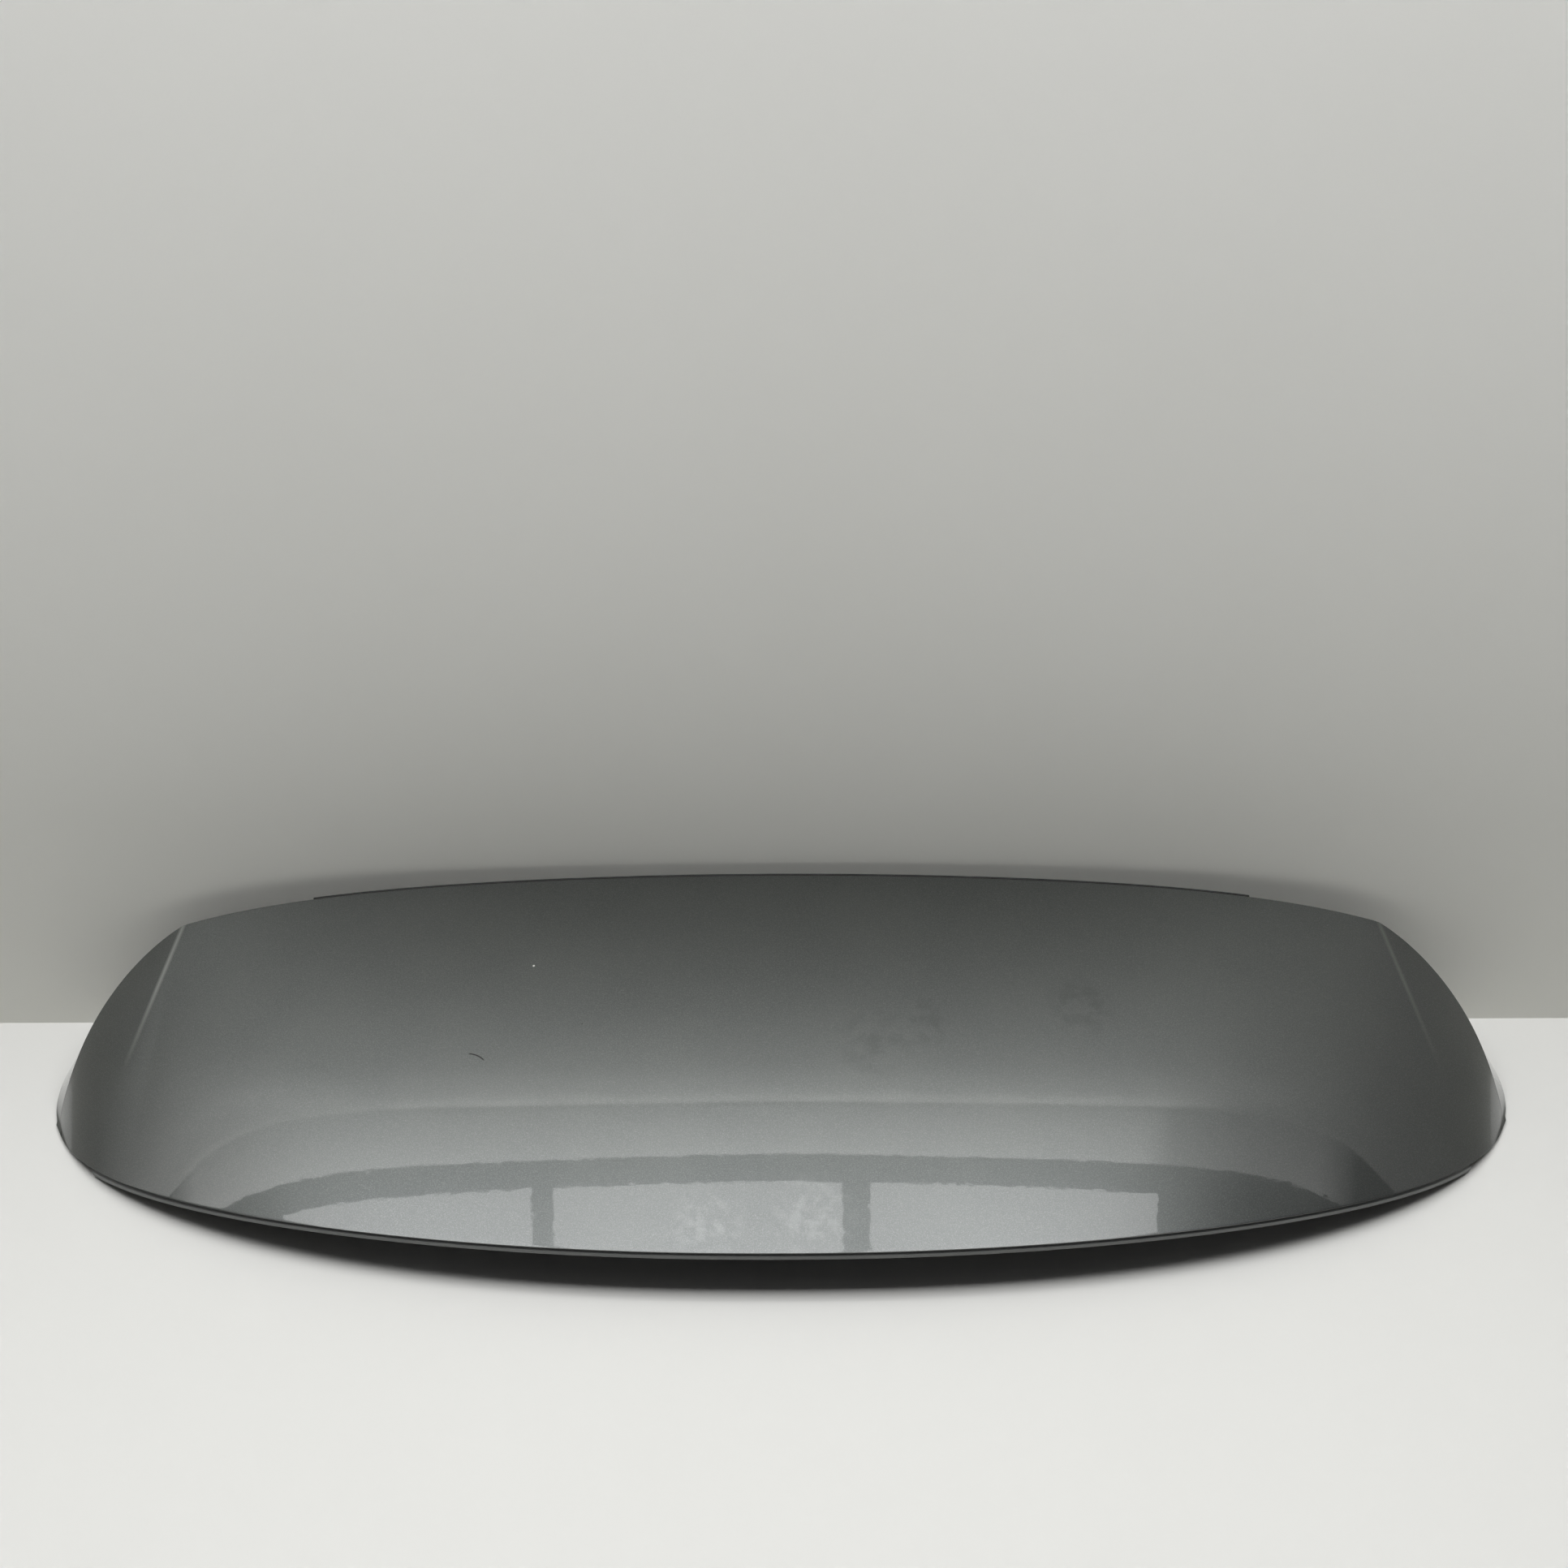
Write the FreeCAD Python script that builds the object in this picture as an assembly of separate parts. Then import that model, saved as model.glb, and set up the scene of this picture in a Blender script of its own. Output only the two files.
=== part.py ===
import FreeCAD, Part
import math
import os

from FreeCAD import Vector

# Tailgate spoiler: a painted outer shell bonded to a black inner shell, with its fixings.
# Millimetres. X runs across the car, +Y towards the roof, +Z up. The part lies as it rests
# on a table, and the origin is the middle of the bottom of its box.

# Plan of the outer shell
half_width = 590.0          # centre line to wing tip
plan_sweep = 260.0          # the trailing edge sweeps forward by this much at the tips
plan_power = 2.2            # 2 would make the trailing edge an ellipse in plan; more is squarer
chord = 305.0               # trailing edge to leading edge on the centre line
leading_bow = 15.0          # the leading edge falls back by this much at the shoulders
shoulder_inset = 103.0      # wing tip to the shoulder, where the leading edge turns down
wing_edge_bulge = 10.0      # bulge of the wing's front edge over its chord

# Heights of the outer shell above the rest plane
trailing_height = 41.5      # trailing edge on the centre line
trailing_power = 3.3        # how late the trailing edge drops towards the tips
tip_inset = 25.0            # wing tip to the place where the trailing edge comes down to rest
leading_height = 155.0      # leading edge on the centre line
leading_crown = 20.0        # even fall of the leading edge from the centre to the shoulder
shoulder_drop = 16.5        # extra fall near the shoulder, with the sixth power of the span
camber = 0.30               # chordwise arch on the centre line, as a share of the rise

# Shoulder crease and wing-tip flap
crease_slope = 0.15         # extra slope of the wing outside the crease
crease_radius = 8.0
crease_splay = 40.0         # the crease runs outwards by this much towards the trailing edge
crease_fade = 1.5           # power of the chord share with which the crease fades in
flap_height = 47.0
flap_lean = 31.0            # the flap leans in by this much over its height
flap_setback = 31.0         # and back towards the trailing edge by this much

# Walls and bond
skin_wall = 2.5
bond_gap = 1.0
bead_clearance = 0.25
bead_inset = 8.0            # from the shells' edge to the bead
bead_width = 9.0

# Inner shell
lip_inset = 0.5             # trailing lip behind the painted edge
leading_inset = 1.0         # leading flange behind the painted edge
inner_inset_trailing = 70.0  # wing tip to the inner shell's end, at the trailing edge
inner_inset_leading = 112.0  # the same at the leading edge
inner_wall = 2.5
flange_width = 20.0
dish_depth = 20.0
dish_ramp = 40.0
rib_height = 9.0
rib_thickness = 2.0
rib_end_inset = 93.0        # inner shell's front end to the outermost rib
rib_pairs = 4
rib_start = 0.45            # chord share where the ribs begin

# Leading-edge seal
seal_end_inset = 107.0      # shoulder to the seal's end
seal_thickness = 2.5
seal_height = 9.0
seal_clearance = 0.2

# Studs, foam rings and their towers
stud_spacing_x = 500.0
stud_spacing_y = 60.0
stud_front_setback = 80.0   # leading edge to the front pair of studs
tower_stub = 16.0           # height of the shortest stud tower under the inner shell
stud_radius = 3.0
stud_length = 22.0
stud_root_radius = 2.5
stud_root_length = 12.0
collar_across_flats = 10.0
collar_height = 4.0
tower_radius = 13.0
foam_clearance = 0.5
fit_clearance = 0.1

# Push-in clips and locating pegs
clip_end_inset = 98.0       # inner shell's front end to the outermost clip
clip_pairs = 2
clip_setback = 11.0         # leading edge to the clips
clip_shank_radius = 2.6
clip_barb_radius = 4.4
clip_barb_height = 4.0
clip_barbs = 3
clip_flange_radius = 8.0
clip_flange_height = 2.0
clip_seat_depth = 6.0       # the clip's seat below the inner shell
peg_spacing = 290.0
peg_radius = 4.0
peg_length = 16.0

# Screws that clamp the shells together
screw_end_inset = 62.0      # inner shell's end to the end screws
screw_end_shares = (0.42, 0.72)
screw_middle_spacing = 240.0
screw_middle_share = 0.30
screw_radius = 1.9
screw_hole_clearance = 0.3
screw_head_radius = 4.0
screw_head_height = 2.6
screw_grip = 11.0
socket_radius = 1.7
socket_depth = 1.5
screw_seat_radius = 8.0
screw_seat_rise = 5.5
screw_boss_radius = 5.0

# Foam pads under the wing tips
pad_length = 56.0
pad_width = 24.0
pad_thickness = 6.0
pad_inset = 30.0            # top of the flap to the pad's middle, across
pad_setback = 14.0          # and back towards the trailing edge
pad_clearance = 0.3

# Places worked out from the driving dimensions
shoulder = half_width - shoulder_inset
inner_front = half_width - inner_inset_leading
seal_half_length = shoulder - seal_end_inset
trailing_reach = half_width - tip_inset
trailing_y0 = -(chord + seal_thickness) / 2
tall = 2.0 * leading_height

# Grid of points through which each surface is drawn
span_margin = 10.0          # past the wing tip
chord_margin = 0.12         # past the two edges, as a share of the chord
crease_zone = shoulder - 24.0  # closer stations from here outwards
middle_stations = 14
outer_stations = 30
chord_stations = 30
curve_steps = 40            # along the trailing edge in plan
step = 0.01                 # for the slopes


def plan_depth(share):
    """Depth of a unit superellipse: 1 on the centre line, 0 at the tip, where the share is 1."""
    return (1.0 - abs(share) ** plan_power) ** (1.0 / plan_power)


def trailing_y(x):
    """Plan of the trailing edge: a superellipse, carried on by its tangent past trailing_reach."""
    reach = min(abs(x), trailing_reach)
    share = reach / half_width
    depth = plan_depth(share)
    tangent = plan_sweep / half_width * (share / depth) ** (plan_power - 1.0)
    return trailing_y0 + plan_sweep * (1.0 - depth) + tangent * (abs(x) - reach)


def leading_y(x):
    """Plan of the leading edge: a shallow parabola that falls back towards the shoulders."""
    return trailing_y0 + chord - leading_bow * (x / shoulder) ** 2


def trailing_z(x):
    return trailing_height * (1.0 - (abs(x) / trailing_reach) ** trailing_power)


def leading_z(x):
    span = abs(x) / shoulder
    return leading_height - leading_crown * span ** 2 - shoulder_drop * span ** 6


def crease_fall(x, v):
    """Fall outside the shoulder crease: a rounded ramp that fades out towards the trailing edge."""
    outside = abs(x) - shoulder - crease_splay * (1.0 - v)
    ramp = (outside + math.sqrt(outside ** 2 + crease_radius ** 2)) / 2
    fade = max(0.0, min(1.0, v)) ** crease_fade
    return crease_slope * fade * ramp


def arch(x):
    """Camber across the width: full on the centre line, fading to a straight chord at the shoulders."""
    span = min(1.0, abs(x) / shoulder)
    return camber * (1.0 - span ** 2) ** 2


def skin(x, v):
    """Point of the painted surface: v runs from 0 at the trailing edge to 1 at the leading edge."""
    y = trailing_y(x) + (leading_y(x) - trailing_y(x)) * v
    share = v + arch(x) * v * (1.0 - v)
    z = trailing_z(x) + (leading_z(x) - trailing_z(x)) * share - crease_fall(x, v)
    return Vector(x, y, z)


def under_skin(x, v, depth):
    """Point at the given depth under the painted surface, along its normal."""
    across = skin(x + step, v) - skin(x - step, v)
    along = skin(x, v + step) - skin(x, v - step)
    normal = across.cross(along).normalize()
    return skin(x, v) - normal * depth


def span_stations():
    """Stations across the width: wide in the middle, close together round the shoulder creases."""
    end = half_width + span_margin
    middle = [crease_zone * i / middle_stations for i in range(middle_stations)]
    spread = (end - crease_zone) / outer_stations
    outer = [crease_zone + spread * i for i in range(outer_stations + 1)]
    right = middle + outer
    return [-x for x in reversed(right[1:])] + right


def layer(depth):
    """Solid that fills the space below the surface at depth(x, v) under the paint."""
    spread = (1.0 + 2.0 * chord_margin) / chord_stations
    shares = [-chord_margin + spread * j for j in range(chord_stations + 1)]
    grid = [[under_skin(x, v, depth(x, v)) for v in shares] for x in span_stations()]
    surface = Part.BSplineSurface()
    surface.interpolate(grid)
    return surface.toShape().extrude(Vector(0, 0, -tall))


def share_at(x, y):
    return (y - trailing_y(x)) / (leading_y(x) - trailing_y(x))


def height_at(x, y, depth):
    """Height straight below the painted surface at plan position x, y, for a depth along the normal."""
    v = share_at(x, y)
    top = skin(x, v)
    slope = top - under_skin(x, v, 1.0)
    return top.z - depth / slope.z


def smooth_step(t):
    t = max(0.0, min(1.0, t))
    return t * t * (3.0 - 2.0 * t)


def inner_edge(v):
    """Half width of the inner shell along the chord."""
    return half_width - inner_inset_trailing - (inner_inset_leading - inner_inset_trailing) * v


def inner_depth(x, v):
    """Depth of the inner shell's upper face: bonded flanges round a dished middle."""
    length = leading_y(x) - trailing_y(x)
    aft = smooth_step((v * length - flange_width) / dish_ramp)
    front = smooth_step(((1.0 - v) * length - flange_width) / dish_ramp)
    side = smooth_step((inner_edge(v) - flange_width - abs(x)) / dish_ramp)
    return skin_wall + bond_gap + dish_depth * aft * front * side


def inner_under(x, v):
    return inner_depth(x, v) + inner_wall


def trailing_point(inset, x):
    """Point of the trailing edge in plan, moved in by inset."""
    deep = plan_sweep - inset
    return Vector(x, trailing_y0 + plan_sweep - deep * plan_depth(x / (half_width - inset)), 0)


def trailing_curve(inset, start, end):
    """Trailing edge in plan, moved in by inset, between two places across the width."""
    wide = half_width - inset
    first = math.asin(start / wide)
    spread = (math.asin(end / wide) - first) / curve_steps
    inner = [wide * math.sin(first + spread * i) for i in range(1, curve_steps)]
    curve = Part.BSplineCurve()
    curve.interpolate([trailing_point(inset, x) for x in [start] + inner + [end]])
    return curve.toShape()


def arc(start, middle, end):
    return Part.Arc(start, middle, end).toShape()


def prism(edges, low=-tall, high=tall):
    """Upright prism on a closed plan outline."""
    face = Part.Face(Part.Wire(Part.__sortEdges__(edges)))
    face.translate(Vector(0, 0, low))
    return face.extrude(Vector(0, 0, high - low))


def above_rest(solid):
    """What is left of a solid above the plane that the part rests on."""
    wide = 2.0 * half_width
    return solid.common(Part.makeBox(2.0 * wide, 2.0 * wide, tall, Vector(-wide, -wide, 0)))


def polygon(points):
    return [Part.LineSegment(a, b).toShape() for a, b in zip(points, points[1:] + points[:1])]


def flipped(point):
    return Vector(-point.x, point.y, point.z)


tip = Vector(half_width, trailing_y0 + plan_sweep, 0)
flap_top = tip + Vector(-flap_lean, -flap_setback, 0)
shoulder_point = Vector(shoulder, leading_y(shoulder), 0)
leading_middle = Vector(0, leading_y(0), 0)


def outer_plan():
    """Outline of the outer shell: trailing edge, flap ends, wing edges and leading edge."""
    across = flap_top - shoulder_point
    bulge = Vector(-across.y, across.x, 0).normalize() * wing_edge_bulge
    wing_middle = (flap_top + shoulder_point) * 0.5 + bulge
    return [
        trailing_curve(0.0, -half_width, half_width),
        Part.LineSegment(tip, flap_top).toShape(),
        arc(flap_top, wing_middle, shoulder_point),
        arc(shoulder_point, leading_middle, flipped(shoulder_point)),
        arc(flipped(shoulder_point), flipped(wing_middle), flipped(flap_top)),
        Part.LineSegment(flipped(flap_top), flipped(tip)).toShape(),
    ]


def flap_side(side, depth):
    """Slanted prism whose wall is the flap: the trailing edge's plan, leaning inwards as it rises.

    Lowered, the leaning wall moves in by the depth, which leaves the trailing edge untouched.
    """
    far = 2.0 * half_width
    start = Vector(0, trailing_y0, 0)
    rim = [Vector(-far, trailing_y0, 0), Vector(-far, far, 0), Vector(half_width, far, 0), tip]
    whole = trailing_curve(0.0, -half_width, half_width).Curve
    edges = [whole.toShape(whole.parameter(start), whole.LastParameter)]
    edges += [Part.LineSegment(a, b).toShape() for a, b in zip([start] + rim[:-1], rim)]
    face = Part.Face(Part.Wire(Part.__sortEdges__(edges)))
    face.translate(Vector(0, 0, -depth * math.hypot(flap_height, flap_lean) / flap_lean))
    lean = Vector(-flap_lean, -flap_setback, flap_height) * (2.0 * tall / flap_height)
    solid = face.extrude(lean)
    if side < 0:
        solid = solid.mirror(Vector(0, 0, 0), Vector(1, 0, 0))
    return solid


def screw_places():
    """Plan places of the screws, taken on the painted surface."""
    rows = [(inner_edge(share) - screw_end_inset, share) for share in screw_end_shares]
    rows.append((screw_middle_spacing / 2, screw_middle_share))
    points = [skin(side * distance, share) for distance, share in rows for side in (-1, 1)]
    return [(point.x, point.y) for point in points]


def screw_seat(x, y):
    """Top and bottom of the inner shell's seat for a screw."""
    v = share_at(x, y)
    top = height_at(x, y, inner_depth(x, v)) + screw_seat_rise
    bottom = height_at(x, y, inner_under(x, v)) - screw_seat_rise
    return top, bottom


def upright(radius, x, y, low, high):
    return Part.makeCylinder(radius, high - low, Vector(x, y, low))


def joined(solid, others):
    return solid.fuse(others).removeSplitter()


def outer_shell():
    """Painted skin with its flaps, and the screw bosses moulded inside it."""
    bore_radius = screw_radius + fit_clearance
    solid = above_rest(prism(outer_plan()).common(layer(lambda x, v: 0.0)))
    inside = layer(lambda x, v: skin_wall)
    for side in (-1, 1):
        solid = solid.common(flap_side(side, 0.0))
        inside = inside.common(flap_side(side, skin_wall))
    solid = solid.cut(inside)
    bosses = []
    bores = []
    for x, y in screw_places():
        top = screw_seat(x, y)[0]
        bosses.append(upright(screw_boss_radius, x, y, top, top + tall))
        bores.append(upright(bore_radius, x, y, top, top + screw_grip))
    half_skin = layer(lambda x, v: skin_wall / 2)
    bosses = [boss.common(half_skin) for boss in bosses]
    return joined(solid, bosses).cut(bores)


def stud_places():
    front = leading_y(stud_spacing_x / 2) - stud_front_setback
    rows = (front, front - stud_spacing_y)
    return [(side * stud_spacing_x / 2, y) for y in rows for side in (-1, 1)]


def mount_height():
    """Height of the towers' lower faces: the lowest inner shell over a stud, less the stub."""
    lows = [height_at(x, y, inner_under(x, share_at(x, y))) for x, y in stud_places()]
    return min(lows) - tower_stub


def clip_places():
    """Plan place and seat height of each clip."""
    places = []
    for i in range(-clip_pairs, clip_pairs + 1):
        x = (inner_front - clip_end_inset) * i / clip_pairs
        y = leading_y(x) - clip_setback
        seat = height_at(x, y, inner_under(x, share_at(x, y))) - clip_seat_depth
        places.append((x, y, seat))
    return places


def inner_plan():
    """Outline of the inner shell: trailing lip, slanting ends and leading flange."""
    reach = half_width - inner_inset_trailing
    aft = trailing_point(lip_inset, reach)
    front = Vector(inner_front, leading_y(inner_front) - leading_inset, 0)
    middle = Vector(0, leading_y(0) - leading_inset, 0)
    return [
        trailing_curve(lip_inset, -reach, reach),
        Part.LineSegment(aft, front).toShape(),
        arc(front, middle, flipped(front)),
        Part.LineSegment(flipped(front), flipped(aft)).toShape(),
    ]


def inner_shell():
    """Dished lower panel with stud towers, clip seats, screw seats, pegs and ribs."""
    upper = layer(inner_depth)
    lower = layer(inner_under)
    panel = above_rest(prism(inner_plan()).common(upper).cut(lower))
    middle = layer(lambda x, v: inner_depth(x, v) + inner_wall / 2)
    rib_floor = layer(lambda x, v: inner_under(x, v) + rib_height)
    posts = []
    bores = []
    mount = mount_height()
    for x, y in stud_places():
        posts.append(upright(tower_radius, x, y, mount, mount + tall))
        bores.append(upright(stud_root_radius + fit_clearance, x, y, mount, mount + stud_root_length))
    for x, y, seat in clip_places():
        posts.append(upright(clip_flange_radius, x, y, seat, seat + tall))
        bores.append(upright(clip_shank_radius + fit_clearance, x, y, seat, seat + clip_barb_height))
    for side in (-1, 1):
        x = side * peg_spacing / 2
        y = leading_y(x) - clip_setback
        low = height_at(x, y, inner_under(x, share_at(x, y))) - peg_length
        posts.append(upright(peg_radius, x, y, low, low + tall))
    posts = [post.common(middle) for post in posts]
    ribs = []
    for i in range(-rib_pairs, rib_pairs):
        x = (inner_front - rib_end_inset) * (i + 0.5) / (rib_pairs - 0.5)
        low_y = skin(x, rib_start).y
        high_y = leading_y(x) - flange_width - dish_ramp / 2
        blade = Part.makeBox(rib_thickness, high_y - low_y, tall, Vector(x - rib_thickness / 2, low_y, 0))
        ribs.append(blade.common(middle).cut(rib_floor))
    seats = []
    for x, y in screw_places():
        top, bottom = screw_seat(x, y)
        seats.append(upright(screw_seat_radius, x, y, bottom, top))
        bores.append(upright(screw_radius + screw_hole_clearance, x, y, bottom, top))
    return joined(panel, posts + ribs + seats).cut(bores)


def adhesive_bead():
    """Bead of adhesive between the bonded flanges, a ring just inside the shells' edge."""
    upper = layer(lambda x, v: skin_wall + bead_clearance)
    lower = layer(lambda x, v: skin_wall + bond_gap - bead_clearance)

    def ring_plan(inset):
        reach = half_width - inner_inset_trailing - inset
        front_x = inner_front - inset
        aft = trailing_point(inset, reach)
        front = Vector(front_x, leading_y(front_x) - inset, 0)
        middle = Vector(0, leading_y(0) - inset, 0)
        return [
            trailing_curve(inset, -reach, reach),
            Part.LineSegment(aft, front).toShape(),
            arc(front, middle, flipped(front)),
            Part.LineSegment(flipped(front), flipped(aft)).toShape(),
        ]

    ring = prism(ring_plan(bead_inset)).cut(prism(ring_plan(bead_inset + bead_width)))
    return ring.common(upper).cut(lower)


def leading_edge_seal():
    """Rubber strip along the middle of the leading edge, just in front of the shells' edge."""
    def line_at(gap):
        ends = [Vector(s * seal_half_length, leading_y(seal_half_length) + gap, 0) for s in (-1, 1)]
        return ends[0], Vector(0, leading_y(0) + gap, 0), ends[1]

    back = line_at(seal_clearance)
    front = line_at(seal_thickness)
    outline = [
        arc(*back),
        arc(*front),
        Part.LineSegment(back[0], front[0]).toShape(),
        Part.LineSegment(back[2], front[2]).toShape(),
    ]
    return prism(outline).common(layer(lambda x, v: 0.0)).cut(layer(lambda x, v: seal_height))


def hexagon(across_flats, x, y, low, height):
    radius = across_flats / math.sqrt(3.0)
    points = [
        Vector(x + radius * math.cos(math.pi * i / 3), y + radius * math.sin(math.pi * i / 3), 0)
        for i in range(6)
    ]
    return prism(polygon(points), low, low + height)


def mounting_studs():
    """Double-ended studs: root in the tower, hexagon collar on its seat, plain thread below."""
    studs = []
    mount = mount_height()
    for x, y in stud_places():
        root = upright(stud_root_radius, x, y, mount, mount + stud_root_length)
        collar = hexagon(collar_across_flats, x, y, mount - collar_height, collar_height)
        foot = mount - collar_height - stud_length
        thread = upright(stud_radius, x, y, foot, mount - collar_height)
        chamfer = stud_radius / 3
        thread = thread.makeChamfer(chamfer, [edge for edge in thread.Edges if edge.BoundBox.ZMax < foot + chamfer])
        studs.append(joined(collar, [root, thread]))
    return Part.makeCompound(studs)


def stud_seals():
    """Foam ring round each stud collar, pressed to the collar's height."""
    rings = []
    mount = mount_height()
    low = mount - collar_height
    hole_radius = collar_across_flats / math.sqrt(3.0) + foam_clearance
    for x, y in stud_places():
        ring = upright(tower_radius, x, y, low, mount)
        rings.append(ring.cut(upright(hole_radius, x, y, low, mount)))
    return Part.makeCompound(rings)


def retaining_clips():
    """Push-in clips: a round flange on its seat, a short root and a shank with tapered barbs."""
    clips = []
    for x, y, seat in clip_places():
        flange_low = seat - clip_flange_height
        pieces = [upright(clip_shank_radius, x, y, flange_low, seat + clip_barb_height)]
        for i in range(clip_barbs):
            low = flange_low - (i + 1) * clip_barb_height
            barb = Part.makeCone(clip_shank_radius, clip_barb_radius, clip_barb_height, Vector(x, y, low))
            pieces.append(barb)
        clips.append(joined(upright(clip_flange_radius, x, y, flange_low, seat), pieces))
    return Part.makeCompound(clips)


def shell_screws():
    """Pan-head screws, driven from below through the inner shell into the outer shell's bosses."""
    screws = []
    for x, y in screw_places():
        top, bottom = screw_seat(x, y)
        head = upright(screw_head_radius, x, y, bottom - screw_head_height, bottom)
        shank = upright(screw_radius, x, y, bottom - screw_head_height / 2, top + screw_grip)
        socket = hexagon(2.0 * socket_radius, x, y, bottom - screw_head_height, socket_depth)
        screws.append(joined(head, [shank]).cut(socket))
    return Part.makeCompound(screws)


def wing_pad(side):
    """Foam pad stuck under the wing, between the shoulder and the flap."""
    x = flap_top.x - pad_inset
    y = flap_top.y - pad_setback
    blank = Part.makeBox(pad_width, pad_length, tall, Vector(x - pad_width / 2, y - pad_length / 2, 0))
    if side < 0:
        blank = blank.mirror(Vector(0, 0, 0), Vector(1, 0, 0))
    upper = layer(lambda x, v: skin_wall + pad_clearance)
    lower = layer(lambda x, v: skin_wall + pad_clearance + pad_thickness)
    return blank.common(flap_side(side, skin_wall + pad_clearance)).common(upper).cut(lower)


nodes = {
    "outer_shell": outer_shell,
    "inner_shell": inner_shell,
    "adhesive_bead": adhesive_bead,
    "leading_edge_seal": leading_edge_seal,
    "mounting_studs": mounting_studs,
    "stud_seals": stud_seals,
    "retaining_clips": retaining_clips,
    "shell_screws": shell_screws,
    "wing_pad_left": lambda: wing_pad(-1),
    "wing_pad_right": lambda: wing_pad(1),
}

os.makedirs("parts", exist_ok=True)
for name, make in nodes.items():
    shape = make()
    shape.exportStep("parts/" + name + ".step")
    box = shape.BoundBox
    print(name, "solids", len(shape.Solids), "volume", round(shape.Volume), "valid", shape.isValid(),
          "box", [round(n, 2) for n in (box.XMin, box.XMax, box.YMin, box.YMax, box.ZMin, box.ZMax)])
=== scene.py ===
import math

import bpy
import numpy as np
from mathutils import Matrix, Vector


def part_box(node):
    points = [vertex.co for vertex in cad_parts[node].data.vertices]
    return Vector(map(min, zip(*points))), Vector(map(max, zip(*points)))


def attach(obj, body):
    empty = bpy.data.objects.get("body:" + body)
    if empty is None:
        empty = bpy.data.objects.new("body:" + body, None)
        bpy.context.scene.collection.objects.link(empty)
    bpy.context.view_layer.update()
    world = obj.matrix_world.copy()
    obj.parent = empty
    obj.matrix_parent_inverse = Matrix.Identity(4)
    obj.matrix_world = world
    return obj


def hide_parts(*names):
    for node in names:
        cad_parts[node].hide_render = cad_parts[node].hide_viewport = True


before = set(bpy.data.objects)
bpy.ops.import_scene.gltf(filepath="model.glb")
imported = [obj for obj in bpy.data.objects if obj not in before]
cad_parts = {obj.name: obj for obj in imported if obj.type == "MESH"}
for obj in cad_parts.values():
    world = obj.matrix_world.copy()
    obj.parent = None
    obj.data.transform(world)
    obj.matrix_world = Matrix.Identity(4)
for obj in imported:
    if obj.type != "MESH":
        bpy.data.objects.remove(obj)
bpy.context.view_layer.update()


# Painted outer shell: one thin injection-moulded skin, sprayed with metallic grey and clear coat.
# It arches over the whole part, folds down at a shoulder crease and ends in a leaning flap at each tip.
half_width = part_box("outer_shell")[1].x
trailing_y0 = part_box("outer_shell")[0].y
plan_sweep = 0.260
plan_power = 2.2
chord = 0.305
leading_bow = 0.015
shoulder = 0.487
trailing_reach = 0.565
trailing_height = 0.0415
trailing_power = 3.3
leading_height = 0.155
leading_crown = 0.020
shoulder_drop = 0.0165
camber = 0.30
crease_slope = 0.15
crease_radius = 0.004
crease_splay = 0.040
crease_fade = 1.5
flap_inset = 0.031
flap_rise = 0.047
flap_lean = flap_inset / flap_rise
flap_setback = flap_inset / flap_rise
flap_top = np.array([half_width - flap_inset, trailing_y0 + plan_sweep - flap_inset])
wing_edge_bulge = 0.010
skin_wall = 0.0025
lowest_top = 0.0031
flap_foot = 0.0027
flap_flare = 0.0085
corner_share = 0.03
corner_width = 0.5705
rim_round = 0.0006
search_near = shoulder - 0.04
search_far = half_width + 0.02
search_halvings = 40


def trailing_y(x):
    """Superellipse in plan, carried on by its tangent past the place where the edge comes to rest."""
    inside = np.minimum(np.abs(x), trailing_reach)
    share = inside / half_width
    depth = (1.0 - share ** plan_power) ** (1.0 / plan_power)
    tangent = plan_sweep / half_width * (share / depth) ** (plan_power - 1.0)
    return trailing_y0 + plan_sweep * (1.0 - depth) + tangent * (np.abs(x) - inside)


def leading_y(x):
    """Shallow parabola in plan that falls back by the bow at the shoulders."""
    return trailing_y0 + chord - leading_bow * (x / shoulder) ** 2


def leading_z(x):
    """Leading height, less an even crown and a sixth-power drop at the shoulder."""
    span = np.abs(x) / shoulder
    return leading_height - leading_crown * span ** 2 - shoulder_drop * span ** 6


def crease_distance(x, v):
    """Distance outside the shoulder crease, which runs outwards towards the trailing edge."""
    return np.abs(x) - shoulder - crease_splay * (1.0 - v)


def skin(x, v):
    """Painted surface: edge to edge in an arched line, with a rounded ramp down outside the crease.

    The arch is full on the centre line and fades to a straight chord at the shoulders.
    """
    arch = camber * (1.0 - np.minimum(np.abs(x) / shoulder, 1.0) ** 2)
    low = trailing_height * (1.0 - (np.abs(x) / trailing_reach) ** trailing_power)
    outside = crease_distance(x, v)
    ramp = (outside + np.sqrt(outside ** 2 + crease_radius ** 2)) / 2
    y = trailing_y(x) + (leading_y(x) - trailing_y(x)) * v
    z = low + (leading_z(x) - low) * (v + arch * v * (1.0 - v))
    z = z - crease_slope * v ** crease_fade * ramp
    z = (z + lowest_top + np.sqrt((z - lowest_top) ** 2 + rim_round ** 2)) / 2
    return np.stack(np.broadcast_arrays(x, y, z), axis=-1)


def widest(v, inside):
    """Half width at each chord share: the last place inside the given edge, by halving."""
    near = np.full_like(v, search_near)
    far = np.full_like(v, search_far)
    for _ in range(search_halvings):
        middle = (near + far) / 2
        held = inside(skin(middle, v))
        near = np.where(held, middle, near)
        far = np.where(held, far, middle)
    return near


def inside_flap(point):
    """True within the trailing edge's superellipse, leaned in and back with height."""
    x = point[..., 0] + flap_lean * point[..., 2]
    y = np.maximum(trailing_y0 + plan_sweep - point[..., 1] - flap_setback * point[..., 2], 0.0)
    return np.abs(x / half_width) ** plan_power + (y / plan_sweep) ** plan_power <= 1.0


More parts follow.
